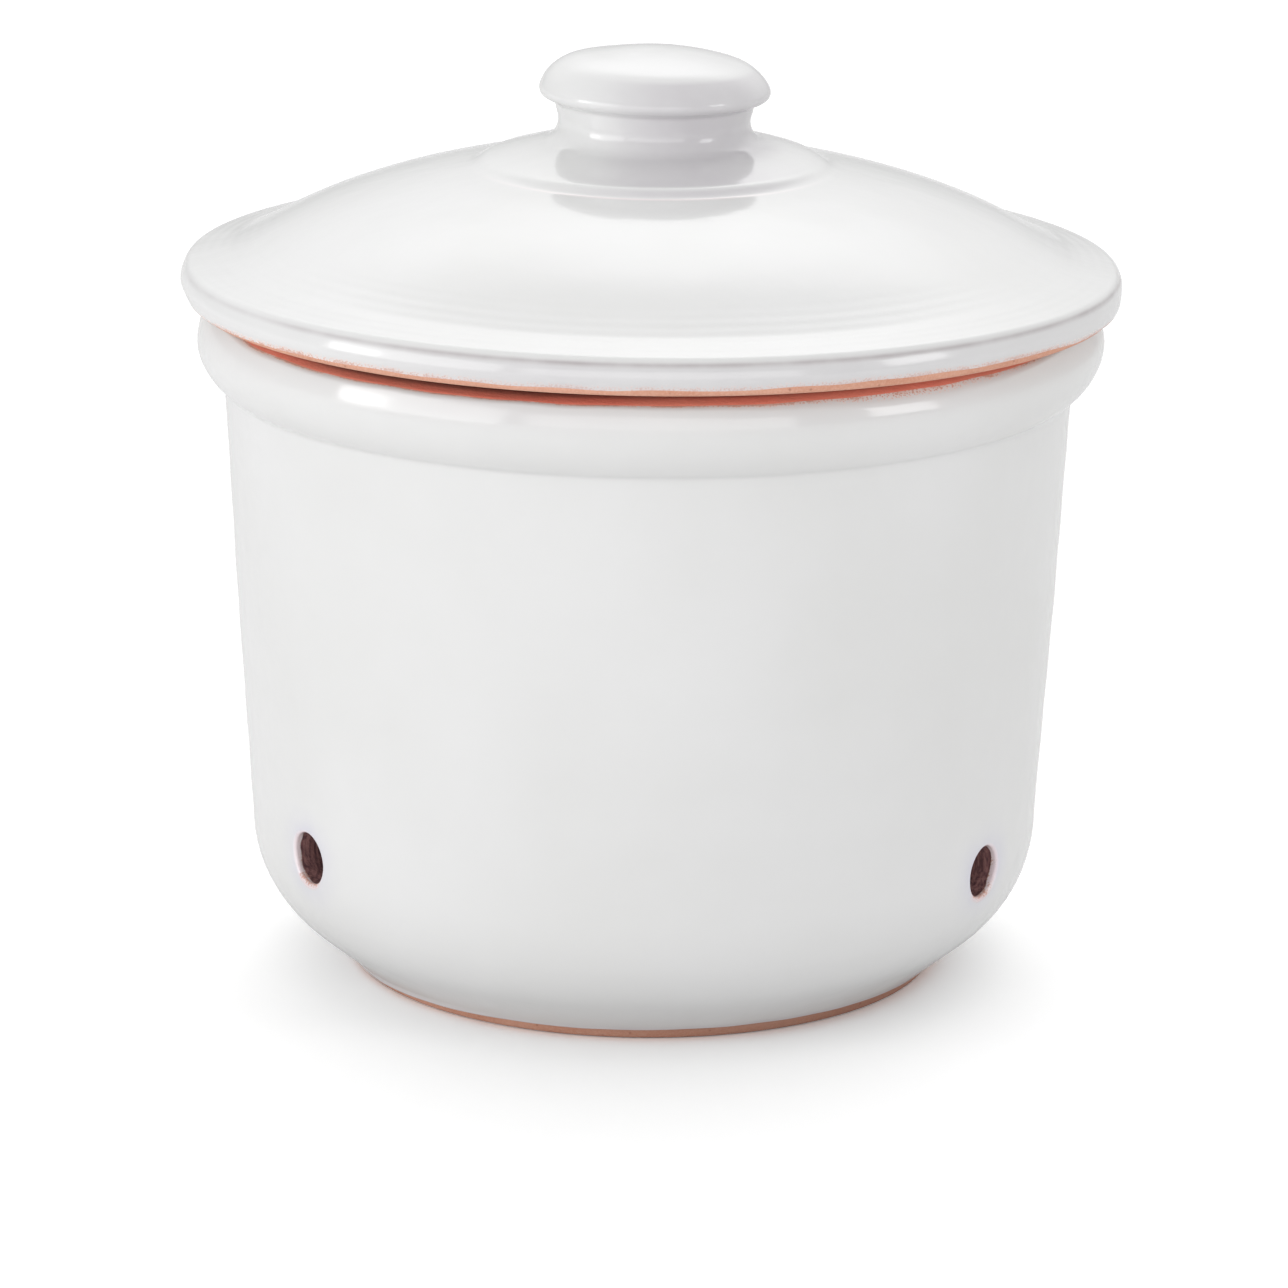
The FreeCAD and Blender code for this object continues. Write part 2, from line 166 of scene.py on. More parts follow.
def step_at(theta, start, end):
    """0 to 1 from the angle start to the angle end, in degrees, measured from the front."""
    away = (np.degrees(theta) + 180.0) % 360.0 - 180.0
    return smooth((away - start) / (end - start))


def pick_rows(points, extra, block=None, fine=()):
    """Which points of a dense line become rows of the mesh: closer together
    where it bends, and closest near the places in fine (index, reach)."""
    s = lengths(points)
    way = np.gradient(points, axis=0)
    angle = np.unwrap(np.arctan2(way[:, 1], way[:, 0]))
    bend = np.abs(np.gradient(angle, s))
    reach = int(0.6 / STEP)
    bend = np.array([bend[max(0, i - reach):i + reach + 1].max() for i in range(len(bend))])
    gap = np.clip(0.11 / np.maximum(bend, 1e-6), 0.16, 1.7)
    for index, width in fine:
        near = np.abs(s - s[index]) < width
        gap[near] = np.minimum(gap[near], 0.13)
    picks = [0]
    at = 0
    while True:
        j = int(np.searchsorted(s, s[at] + gap[at]))
        if j >= len(points) - 1:
            break
        j = max(at + 1, int(np.searchsorted(s, s[at] + min(gap[at], gap[j]))))
        picks.append(j)
        at = j
    picks.append(len(points) - 1)
    picks = set(picks) | set(extra)
    if block:
        for first, last in block:
            zs = np.linspace(BLOCK_LOW, BLOCK_HIGH, BLOCK_ROWS + 1)
            z = points[first:last, 1]
            order = np.argsort(z)
            rows = [first + int(order[np.searchsorted(z[order], v)]) for v in zs]
            low, high = min(rows), max(rows)
            picks = {p for p in picks if not low <= p <= high} | set(rows)
    return sorted(picks)


class Shell:
    """Points, faces and per-point marks of one mesh, in millimetres."""

    def __init__(self, marks):
        self.points = []
        self.faces = []
        self.marks = {name: [] for name in marks}
        self.count = 0

    def add(self, points, **marks):
        points = np.asarray(points, dtype=float).reshape(-1, 3)
        self.points.append(points)
        for name, held in self.marks.items():
            held.append(np.broadcast_to(marks.get(name, 0.0), len(points)).astype(float))
        first = self.count
        self.count += len(points)
        return np.arange(first, self.count)

    def ring(self, radius, height, **marks):
        radius = np.broadcast_to(radius, COLS)
        height = np.broadcast_to(height, COLS)
        return self.add(np.stack([radius * np.sin(THETA), -radius * np.cos(THETA), height], axis=1), **marks)

    def skin(self, lower, upper, cut=()):
        """Quads between two rings, leaving out the columns in cut."""
        count = len(lower)
        for c in range(count):
            if c in cut:
                continue
            d = (c + 1) % count
            self.faces.append((int(lower[c]), int(lower[d]), int(upper[d]), int(upper[c])))

    def cap(self, point, ring, **marks):
        tip = int(self.add([point], **marks)[0])
        for c in range(len(ring)):
            self.faces.append((tip, int(ring[c]), int(ring[(c + 1) % len(ring)])))

    def build(self, name, move):
        points = move(np.vstack(self.points))
        mesh = bpy.data.meshes.new(name)
        mesh.from_pydata((points * 0.001).tolist(), [], self.faces)
        bm = bmesh.new()
        bm.from_mesh(mesh)
        bmesh.ops.recalc_face_normals(bm, faces=bm.faces)
        bm.to_mesh(mesh)
        bm.free()
        mesh.polygons.foreach_set("use_smooth", [True] * len(mesh.polygons))
        for mark, held in self.marks.items():
            layer = mesh.attributes.new(mark, "FLOAT", "POINT")
            layer.data.foreach_set("value", np.concatenate(held))
        mesh.update()
        piece = bpy.data.objects.new(name, mesh)
        bpy.context.scene.collection.objects.link(piece)
        return piece


# ---------------------------------------------------------------------------
# Vents
# ---------------------------------------------------------------------------
def vent_columns(azimuth):
    middle = int(round((azimuth % 360.0) / 360.0 * COLS))
    return [(middle + k) % COLS for k in range(-BLOCK_HALF, BLOCK_HALF + 1)]


def block_loop(columns):
    """Row and column steps round a block's edge, starting at its lowest row
    and first column. Rows count upwards in height."""
    last_r, last_c = BLOCK_ROWS, len(columns) - 1
    return ([(0, c) for c in range(last_c)] + [(r, last_c) for r in range(last_r)]
            + [(last_r, c) for c in range(last_c, 0, -1)] + [(r, 0) for r in range(last_r, 0, -1)])


def vent_place(azimuth, height, across, up, radius):
    """A point given in a vent's own directions: across and up from its middle
    in mm, and radius out from the pot's axis along the vent."""
    a = math.radians(azimuth)
    return np.stack([radius * math.sin(a) + across * math.cos(a),
                     -radius * math.cos(a) + across * math.sin(a),
                     height + up], axis=1)


class Vent:
    """One vent's hole through one surface: the block of rows and columns it
    cuts away, and the loop of points round that block."""

    def __init__(self, azimuth, height, rows, wall):
        # rows: BLOCK_ROWS + 1 rings of point numbers, lowest first
        self.azimuth, self.height, self.wall = azimuth, height, wall
        self.columns = vent_columns(azimuth)
        self.loop = np.array([rows[r][self.columns[c]] for r, c in block_loop(self.columns)])
        zs = np.linspace(BLOCK_LOW, BLOCK_HIGH, BLOCK_ROWS + 1)
        z = np.array([zs[r] for r, c in block_loop(self.columns)])
        theta = np.array([THETA[self.columns[c]] for r, c in block_loop(self.columns)])
        r = wall(z)
        self.across = r * np.sin(theta - math.radians(azimuth))
        self.up = z - height
        self.angle = np.arctan2(self.up, self.across)

    def out(self, across, up):
        """How far out the wall's surface is at a place."""
        return np.sqrt(self.wall(self.height + up) ** 2 - across ** 2)

    def surface_ring(self, shell, radius, t, **marks):
        """A loop between the hole's edge (t = 0) and the block's edge (t = 1)."""
        across = (1 - t) * radius * np.cos(self.angle) + t * self.across
        up = (1 - t) * radius * np.sin(self.angle) + t * self.up
        away = np.hypot(across, up) - VENT_R
        marks = {k: (v(away, self.angle) if callable(v) else v) for k, v in marks.items()}
        return shell.add(vent_place(self.azimuth, self.height, across, up, self.out(across, up)), **marks)

    def deep_ring(self, shell, radius, depth, **marks):
        across, up = radius * np.cos(self.angle), radius * np.sin(self.angle)
        out = self.out(across, up) - depth
        marks = {k: (v(0.0 * across, self.angle) if callable(v) else v) for k, v in marks.items()}
        return shell.add(vent_place(self.azimuth, self.height, across, up, out), **marks)


# ---------------------------------------------------------------------------
# Pot: shared profile
# ---------------------------------------------------------------------------
skin, skin_knots = run_points(POT_SKIN)
pot_glaze_line = soften(skin, 0.45)
under = pot_glaze_line - GLAZE * normals(pot_glaze_line, 1)
foot, foot_knots = run_points(POT_FOOT)
top, top_knots = run_points(POT_TOP)
pot_line = np.vstack([foot[:-1], under, top[1:]])
at_skin, at_top = len(foot) - 1, len(foot) - 1 + len(under)
pot_line = soften(pot_line, 0.28, axis_start=True, axis_end=True)
pot_line[0, 0] = pot_line[-1, 0] = 0.0
pot_out = pot_line + GLAZE * normals(pot_line, 1)
edge_blend = smooth(np.minimum(np.arange(len(under)), np.arange(len(under))[::-1]) * STEP / 2.5)[:, None]
pot_out[at_skin:at_top] = (1 - edge_blend) * pot_out[at_skin:at_top] + edge_blend * pot_glaze_line
pot_out = soften(pot_out, 0.2, axis_start=True, axis_end=True)
pot_s = lengths(pot_line)
foot_edge, rim_edge = pot_s[at_skin], pot_s[at_top]

inner_from, inner_to = at_top + top_knots[4], at_top + top_knots[7]
rows = pick_rows(pot_line, [], block=[(at_skin + skin_knots[3], at_skin + skin_knots[5]), (inner_from, inner_to)],
                 fine=[(at_skin, 2.2), (at_top, 3.4)])


def wall_from(line, first, last):
    z, r = line[first:last, 1], line[first:last, 0]
    order = np.argsort(z)
    return lambda height: np.interp(height, z[order], r[order])


outer_span = (at_skin + skin_knots[3] - 40, at_skin + skin_knots[6])
clay_wall = wall_from(pot_line, *outer_span)
glaze_wall = wall_from(pot_out, *outer_span)
inside_wall = wall_from(pot_line, inner_from, inner_to)


def block_rows(picks, rings, first, last):
    """The rings between two points of the line, where they cross the block, lowest first."""
    held = [(pot_line[p, 1], k) for k, p in enumerate(picks)
            if first <= p <= last and BLOCK_LOW - 0.1 < pot_line[p, 1] < BLOCK_HIGH + 0.1]
    held.sort()
    return [k for z, k in held]


# the lid sits a little crooked, higher at the front left
TILT_RIGHT, TILT_BACK = math.radians(0.23), math.radians(-0.24)
LID_PIVOT = 118.0


def tilt(points):
    """The lid's slight tilt on the rim."""
    x, y, z = points[:, 0].copy(), points[:, 1].copy(), points[:, 2] - LID_PIVOT
    x2 = math.cos(TILT_RIGHT) * x + math.sin(TILT_RIGHT) * z
    z2 = -math.sin(TILT_RIGHT) * x + math.cos(TILT_RIGHT) * z
    y3 = math.cos(TILT_BACK) * y - math.sin(TILT_BACK) * z2
    z3 = math.sin(TILT_BACK) * y + math.cos(TILT_BACK) * z2
    return np.stack([x2, y3, z3 + LID_PIVOT], axis=1)


def round_pot(theta, knots):
    """A smooth value round the axis through (degrees from the front, value) knots."""
    away = (np.degrees(theta) + 180.0) % 360.0 - 180.0
    at, value = np.array(sorted(knots)).T
    at = np.concatenate([at - 360.0, at, at + 360.0])
    value = np.concatenate([value, value, value])
    return np.mean([np.interp(away + k, at, value) for k in np.linspace(-5.0, 5.0, 11)], axis=0)


def rim_gap(theta):
    """The gap between rim and lid round the pot, widest at the front left."""
    return round_pot(theta, [(-180, 0.1), (-70, 0.1), (-62, 0.14), (-56, 0.35), (-51, 0.55), (-46, 0.8), (-38, 1.0),
                             (-15, 1.0), (0, 0.6), (12, 0.4), (24, 0.3), (36, 0.14), (60, 0.1)]) + waves(theta, 11, 5, 12, 0.02)


def move_pot(points):
    x, y, z = points.T
    theta = np.arctan2(x, -y)
    radius = np.hypot(x, y)
    # the rim follows the lid's tilt and leaves the gap under it
    seat_z = tilt(np.stack([72.0 * np.sin(theta), -72.0 * np.cos(theta), np.full_like(theta, 116.2)], axis=1))[:, 2]
    on_rim = smooth((radius - 55.0) / 8.0)
    z = z + ((seat_z - 116.2) * smooth((z - 104.0) / 11.5) - rim_gap(theta) * smooth((z - 113.8) / 2.3)) * on_rim
    # faint unevenness from the wheel and the hand
    grow = 0.035 * np.sin(2 * math.pi * z / 13.0 + 1.5 * np.sin(theta + 0.7)) * smooth((z - 12.0) / 10.0) * smooth((98.0 - z) / 8.0)
    grow += (waves(theta, 3, 2, 4, 0.05) + waves(theta, 4, 5, 9, 0.02) * np.sin(z / 17.0)) * smooth((z - 6.0) / 20.0)
    grow = np.where(radius > 10.0, grow, 0.0)
    # the collar was pressed in a little at the top left and is fuller on the right
    on_collar = smooth((radius - 66.0) / 3.0)
    grow -= 0.55 * bump_at(theta, -92.0, 30.0) * smooth((z - 107.0) / 4.5) * on_collar
    grow += 0.50 * bump_at(theta, 88.0, 30.0) * smooth((z - 100.5) / 3.5) * smooth((114.0 - z) / 3.0) * on_collar
    # glaze fills the collar's crease at the front right
    grow += 0.40 * bump_at(theta, 22.0, 28.0) * np.exp(-0.5 * ((z - 101.9) / 1.2) ** 2) * (radius > 68.0)
    # a low ridge under the collar's crease, at the front
    grow += 0.10 * np.exp(-0.5 * ((z - 98.6 - 0.4 * np.sin(theta)) / 0.9) ** 2) * np.cos(theta / 2.0) ** 2 * (radius > 68.0)
    scale = 1.0 + grow / np.maximum(radius, 1.0)
    return np.stack([x * scale - 0.35, y * scale, z], axis=1)


# ---------------------------------------------------------------------------
# Pot: clay
# ---------------------------------------------------------------------------
# painted shade: the clay is painted darkest round the axis where the gap between rim and lid is widest
gap_shade = round_pot(THETA, [(-180, 0.3), (-62, 0.3), (-54, 0.55), (-46, 0.75), (-38, 0.78), (-10, 0.68), (5, 0.52), (25, 0.55),
                             (40, 0.4), (60, 0.3)])
# painted shade on the bare foot, darkest at the front right
foot_deep = round_pot(THETA, [(-180, 0.3), (-40, 0.22), (0, 0.38), (20, 0.5), (45, 0.6), (120, 0.3)])
shell = Shell(["dust", "flash", "deep", "soot"])
rings = []
for k, p in enumerate(rows[1:-1]):
    r, z = pot_line[p]
    inside = float(smooth((pot_s[p] - rim_edge - 8.0) / 8.0)) if p > at_top else 0.0
    flash = float(smooth((pot_s[p] - rim_edge + 1.5) / 1.0) * smooth((rim_edge + 7.0 - pot_s[p]) / 1.5))
    # painted shade on the rim's clay in the gap under the lid, and on the foot
    deep = float(smooth((pot_s[p] - rim_edge - 1.2) / 1.3) * smooth((rim_edge + 6.5 - pot_s[p]) / 1.5)) * gap_shade
    if p <= at_skin + 60:
        deep = foot_deep
    rings.append(shell.ring(r, z, dust=inside, flash=flash, deep=deep))
out_block = block_rows(rows[1:-1], rings, at_skin, at_top)
in_block = block_rows(rows[1:-1], rings, inner_from, inner_to)
assert len(out_block) == len(in_block) == BLOCK_ROWS + 1, (len(out_block), len(in_block))
cut_cells = {}
for azimuth, height in VENTS:
    for cells in (out_block, in_block):
        for k in range(min(cells), max(cells)):
            cut_cells.setdefault(k, set()).update(vent_columns(azimuth)[:-1])
for k in range(len(rings) - 1):
    shell.skin(rings[k], rings[k + 1], cut_cells.get(k, ()))
shell.cap((0.0, 0.0, pot_line[0, 1]), rings[0])
shell.cap((0.0, 0.0, pot_line[-1, 1]), rings[-1], dust=1.0)
for n, (azimuth, height) in enumerate(VENTS):
    outer = Vent(azimuth, height, [rings[k] for k in out_block], clay_wall)
    inner = Vent(azimuth, height, [rings[k] for k in in_block], inside_wall)
    wob = waves(outer.angle, 40 + n, 2, 5, 0.05)
    hole = VENT_R + 0.12 + wob
    loops = [outer.loop]
    for t in (0.8, 0.6, 0.4, 0.25, 0.12, 0.0):
        loops.append(outer.surface_ring(shell, hole + 0.45, t))
    # painted shade: the clay of the vent's rolled edge and bore is darkened
    for a in (30, 60, 90):
        loops.append(outer.deep_ring(shell, hole + 0.45 * (1 - math.sin(math.radians(a))),
                                     0.45 * (1 - math.cos(math.radians(a))), soot=0.5))
    depth_out = outer.out(hole * np.cos(outer.angle), hole * np.sin(outer.angle))
    inner.angle = outer.angle
    depth_in = inner.out(hole * np.cos(outer.angle), hole * np.sin(outer.angle))
    thick = depth_out - depth_in
    rough = np.random.default_rng(60 + n)
    for f in np.linspace(0.14, 0.93, 12):
        ring_r = hole + 0.05 * rough.normal(size=len(hole)) * smooth(f * 3) + 0.04 * math.sin(9 * f)
        loops.append(outer.deep_ring(shell, ring_r, thick * f, soot=1.0))
    for t in (0.0, 0.15, 0.35, 0.6, 0.8):
        loops.append(inner.surface_ring(shell, hole + 0.35 + 0.12 * np.abs(rough.normal(size=len(hole))) * (t == 0.0), t, dust=1.0))
    loops.append(inner.loop)
    for a, b in zip(loops, loops[1:]):
        shell.skin(a, b)
pot_clay = shell.build("Pot_Clay", move_pot)

# ---------------------------------------------------------------------------
# Pot: glaze
# ---------------------------------------------------------------------------
foot_wave = waves(THETA, 21, 4, 9, 0.07) + waves(THETA, 22, 12, 36, 0.05)
foot_wave += round_pot(THETA, [(-180, 0.1), (-100, -0.4), (-75, -0.85), (-60, -0.85), (-45, -0.5), (-30, -0.1), (-15, 0.2),
                               (0, 0.38), (40, 0.5), (70, 0.45), (120, 0.0)])
rim_wave = waves(THETA, 23, 5, 12, 0.09) + waves(THETA, 24, 14, 44, 0.07)
rim_wave += round_pot(THETA, [(-180, 1.9), (-72, 2.0), (-65, 0.9), (-60, 0.45), (-56, 0.3), (-48, 0.0), (-40, -0.12), (-15, -0.1),
                              (0, 0.05), (35, 0.15), (45, 0.4), (50, 0.45), (57, 0.75), (64, 1.3), (72, 1.8)])


rim_width = 1.35 + 2.1 * bump_at(THETA, 35.0, 13.0) + 0.5 * bump_at(THETA, -60.0, 12.0)
# painted shade: the glaze under the rim is painted greyer, most at the front
collar_pool = round_pot(THETA, [(-180, 0.0), (-60, 0.0), (-40, 0.15), (-24, 1.0), (-8, 0.9), (4, 0.3), (18, 0.75), (34, 0.5), (60, 0.0)])
rim_grain = 0.25 + 0.75 * bump_at(THETA, 35.0, 15.0)


def pot_cover(s):
    """How much of the glaze's thickness stands at a place, round the axis:
    1 is all of it, and below 0 it is under the clay."""
    low = smooth((s - (foot_edge + foot_wave) + 0.3) / 1.0)
    high = smooth(((rim_edge + rim_wave) - s + 0.3 * rim_width) / rim_width)
    return low * high


shell = Shell(["thin", "halo", "pool", "line", "grain", "ripple", "lining"])
glaze_rows = [p for p in rows if foot_edge - 1.25 < pot_s[p] < rim_edge + 2.9]
outer_rings, inner_rings = [], []
for p in glaze_rows:
    cover = pot_cover(pot_s[p])
    w = -0.28 + 1.28 * cover
    r = pot_line[p, 0] + w * (pot_out[p, 0] - pot_line[p, 0])
    z = pot_line[p, 1] + w * (pot_out[p, 1] - pot_line[p, 1])
    z = np.minimum(z, 116.15 + rim_gap(THETA))
    thin = 1.0 - smooth((w - 0.05) / 0.85)
    # painted shade: the glaze just above the foot is painted greyer
    pool = 0.8 * np.exp(-0.5 * ((pot_s[p] - foot_edge - foot_wave - 0.9) / 0.55) ** 2)
    pool = pool + 0.32 * collar_pool * np.exp(-0.5 * ((float(np.mean(z)) - 112.2) / 1.7) ** 2)
    outer_rings.append(shell.ring(r, z, thin=thin, pool=pool, grain=rim_grain if z.min() > 100.0 else 0.2))
for p in glaze_rows:
    n = (pot_out[p] - pot_line[p])
    inner_rings.append(shell.ring(pot_line[p, 0] - 0.35 * n[0], pot_line[p, 1] - 0.35 * n[1], thin=1.0))
out_block = block_rows(glaze_rows, outer_rings, at_skin, at_top)
cut_cells = {}
for azimuth, height in VENTS:
    for k in range(min(out_block), max(out_block)):
        cut_cells.setdefault(k, set()).update(vent_columns(azimuth)[:-1])
for k in range(len(glaze_rows) - 1):
    shell.skin(outer_rings[k], outer_rings[k + 1], cut_cells.get(k, ()))
    shell.skin(inner_rings[k], inner_rings[k + 1], cut_cells.get(k, ()))
shell.skin(outer_rings[-1], inner_rings[-1])
shell.skin(outer_rings[0], inner_rings[0])


def halo_mark(away, angle):
    return np.exp(-np.maximum(away, 0.0) / 2.1) * smooth((7.0 - away) / 4.0)


for n, (azimuth, height) in enumerate(VENTS):
    outer = Vent(azimuth, height, [outer_rings[k] for k in out_block], glaze_wall)
    inner = Vent(azimuth, height, [inner_rings[k] for k in out_block], lambda h: clay_wall(h) - 0.14)
    wob = waves(outer.angle, 40 + n, 2, 5, 0.05)
    hole = VENT_R - 0.03 + wob
    roll = 0.62
    streaks = np.clip(waves(outer.angle, 90 + n, 8, 20, 1.0), -1.0, 1.0)
    # the glaze is thin where it rolls over the lower edge
    lower = smooth((-np.sin(outer.angle) - 0.45) / 0.45)
    loops = [outer.loop]
    for t in (0.86, 0.72, 0.58, 0.45, 0.33, 0.22, 0.13, 0.06, 0.0):
        loops.append(outer.surface_ring(shell, hole + roll, t, halo=halo_mark,
                                        thin=lambda away, angle: 0.62 * lower * smooth((1.35 - away) / 0.8)))
    # painted light: the glaze rolling into the vent and lining it is painted a bright pinkish white, brighter than the
    # white glaze, against the shade in the hole; the pink is thin glaze over the clay
    for a in (18, 36, 54, 72, 90):
        sn, cs = math.sin(math.radians(a)), math.cos(math.radians(a))
        loops.append(outer.deep_ring(shell, hole + roll * (1 - sn), roll * (1 - cs), halo=0.9 - 0.6 * sn, lining=sn,
                                     thin=0.06 + lower * (0.55 + 0.3 * sn) + 0.1 * sn + 0.12 * streaks, grain=0.6))
    end = np.maximum(1.22 - 0.3 * lower + waves(outer.angle, 80 + n, 3, 9, 0.2), roll + 0.12)
    for f in (0.15, 0.35, 0.55, 0.75, 0.9, 1.0):
        loops.append(outer.deep_ring(shell, hole + 0.02 * f, roll + (end - roll) * f, halo=0.15, lining=1.0,
                                     thin=np.clip(0.10 + 0.5 * f ** 4 + 0.45 * lower + (0.2 + 0.3 * f) * streaks, 0.0, 1.0), grain=1.0))
    loops.append(outer.deep_ring(shell, hole + 0.14, end + 0.15, thin=1.0))
    loops.append(outer.deep_ring(shell, hole + 0.45, end + 0.35, thin=1.0))
    inner.angle = outer.angle
    for t in (0.0, 0.2, 0.5, 0.8):
        loops.append(inner.surface_ring(shell, hole + 1.0, t, thin=1.0))
    loops.append(inner.loop)
    for a, b in zip(loops, loops[1:]):
        shell.skin(a, b)
pot_glaze = shell.build("Pot_Glaze", move_pot)

# ---------------------------------------------------------------------------
# Lid: shared profile
# ---------------------------------------------------------------------------
skin, lid_knots = run_points(LID_SKIN)
lid_sharp = soften(skin, 0.30, axis_start=True)
soft_sigma = np.full(len(skin), 0.30)
boss_from, boss_to = lid_knots[7] - 60, lid_knots[9] + 60
soft_sigma[boss_from:boss_to] = 1.1
soft_sigma = np.convolve(np.pad(soft_sigma, 40, mode="edge"), np.ones(81) / 81.0, mode="valid")
lid_soft = soften(skin, soft_sigma, axis_start=True)
under = lid_sharp + GLAZE * normals(lid_sharp, 1)
deeper = smooth(np.arange(len(skin))[::-1] * STEP / 12.0)[:, None] * 0.5
under = under + deeper * normals(lid_sharp, 1)
below, below_knots = run_points(LID_UNDER)
lid_line = np.vstack([under, below[1:]])
at_edge = len(under)
lid_line = soften(lid_line, 0.22, axis_start=True, axis_end=True)
lid_line[0, 0] = lid_line[-1, 0] = 0.0
lid_out = lid_line - GLAZE * normals(lid_line, 1)
lid_s = lengths(lid_line)
lip_edge = lid_s[at_edge]
blend = smooth(np.arange(len(skin))[::-1] * STEP / 2.0)[:, None]
lid_out_soft = lid_out.copy()
lid_out[:at_edge] = (1 - blend) * lid_out[:at_edge] + blend * lid_sharp
lid_out_soft[:at_edge] = (1 - blend) * lid_out_soft[:at_edge] + blend * lid_soft
lid_rows = pick_rows(lid_line, [], fine=[(at_edge, 3.0)])
lid_rows_skin = pick_rows(lid_out[:at_edge + 40], [], fine=[(at_edge, 3.0)])
lid_rows = sorted(set(p for p in lid_rows if p > at_edge + 38) | set(lid_rows_skin))
LIP_LINE = lid_s[lid_knots[16]] + 0.45
BOSS = lid_s[lid_knots[9]]
NECK = lid_s[lid_knots[3]], lid_s[lid_knots[6]]
KNOB_FACE = lid_s[lid_knots[1]] + 1.75
BOSS_RING = lid_s[lid_knots[7]] + 0.25


def move_lid(points):
    x, y, z = points.T
    theta = np.arctan2(x, -y)
    radius = np.hypot(x, y)
    # the knob stands a little to one side
    x = x + 0.18 * smooth((z - 139.5) / 7.0) * (radius < 40.0) * (z > 135.0)
    lean = 0.011 * smooth((z - 144.0) / 5.0) * (radius < 25.0)
    x, z = x + lean * (z - 152.0), z - lean * x - 0.04 * smooth((z - 156.0) / 3.0)
    # the lip is a little fuller on the right
    full = 0.28 * bump_at(theta, 80.0, 22.0) * smooth((z - 119.6) / 1.6) * smooth((124.2 - z) / 1.2) * smooth((radius - 70.0) / 5.0)
    # and its lower edge is worn rounder on the left
    full -= 0.55 * bump_at(theta, -84.0, 24.0) * smooth((119.8 - z) / 2.6) * smooth((radius - 74.0) / 3.0) * (z > 114.0)
    x, y = x * (1.0 + full / np.maximum(radius, 1.0)), y * (1.0 + full / np.maximum(radius, 1.0))
    # the knob's left shoulder is a little fuller
    z = z + 0.55 * bump_at(theta, -88.0, 34.0) * smooth((radius - 8.5) / 5.0) * smooth((19.9 - radius) / 1.6) * (z > 151.5)
    # the boss is fuller on its right
    z = z + 0.36 * bump_at(theta, 95.0, 32.0) * smooth((radius - 18.5) / 3.5) * smooth((29.0 - radius) / 3.5) * (z > 137.0) * (z < 146.0)
    # faint unevenness of the dome and the brim
    lift = (waves(theta, 31, 2, 3, 0.05) * smooth((radius - 20.0) / 40.0)
            + 0.03 * np.sin(radius / 2.9 + 0.6 * np.sin(theta)) * smooth((radius - 34.0) / 6.0) * smooth((68.0 - radius) / 6.0))
    lift = lift * smooth((z - 121.0) / 3.0) * smooth((radius - 22.0) / 10.0) * (z < 141.0)
    z = z - np.abs(lift) - 0.14 * bump_at(theta, 90.0, 38.0) * smooth((radius - 26.0) / 12.0) * smooth((72.0 - radius) / 8.0) * (z > 121.0)
    return tilt(np.stack([x, y, z], axis=1))


# ---------------------------------------------------------------------------
# Lid: clay
# ---------------------------------------------------------------------------
shell = Shell(["dust", "flash", "deep", "soot"])
rings = []
for p in lid_rows[1:-1]:
    r, z = lid_line[p]
    inside = float(smooth((lid_s[p] - lip_edge - 12.0) / 8.0))
    # painted shade on the lid's clay just inside its edge, in the gap over the rim
    deep = float(smooth((lid_s[p] - lip_edge - 1.7) / 0.9) * smooth((lip_edge + 9.5 - lid_s[p]) / 2.0)) * gap_shade
    rings.append(shell.ring(r, z, dust=inside, deep=deep))
for a, b in zip(rings, rings[1:]):
    shell.skin(a, b)
shell.cap((0.0, 0.0, lid_line[0, 1]), rings[0])
shell.cap((0.0, 0.0, lid_line[-1, 1]), rings[-1], dust=1.0)
lid_clay = shell.build("Lid_Clay", move_lid)

# ---------------------------------------------------------------------------
# Lid: glaze
# ---------------------------------------------------------------------------
lip_wave = waves(THETA, 25, 3, 9, 0.08) + waves(THETA, 26, 12, 40, 0.06)
lip_wave += round_pot(THETA, [(-180, 1.2), (-90, 1.7), (-70, 1.5), (-60, 0.9), (-45, 0.75), (-30, 0.6), (0, 0.45), (20, 0.3),
                              (32, 0.15), (45, 0.3), (55, 0.5), (62, 0.9), (75, 1.5), (110, 1.5)])
boss_soft = round_pot(THETA, [(-180, 1.0), (-70, 1.0), (-20, 0.25), (40, 0.25), (75, 0.85), (120, 1.0)])


knob_round = round_pot(THETA, [(-180, 0.3), (-80, 0.0), (-50, 0.0), (-28, 0.2), (-12, 0.75), (0, 1.0), (28, 1.25), (50, 1.15), (90, 0.6)])
knob_left = round_pot(THETA, [(-180, 0.7), (-110, 0.2), (-75, 0.0), (-35, 0.0), (-15, 0.7), (0, 1.0), (120, 1.0)])
boss_round = round_pot(THETA, [(-180, 0.0), (-70, 0.1), (-40, 0.6), (-15, 1.0), (20, 1.0), (45, 0.5), (70, 0.1)])
line_round = round_pot(THETA, [(-180, 0.2), (-75, 0.25), (-55, 0.4), (-38, 0.75), (-20, 1.0), (20, 1.0), (60, 1.0), (85, 0.8),
                               (110, 0.3)])


lip_round = round_pot(THETA, [(-180, 0.1), (-60, 0.06), (-42, 0.12), (-28, 0.45), (-15, 0.75), (0, 0.65), (18, 0.7), (36, 0.5), (60, 0.35), (90, 0.2)])


def lid_cover(s):
    return smooth(((lip_edge + lip_wave) - s + 0.8) / 2.5)


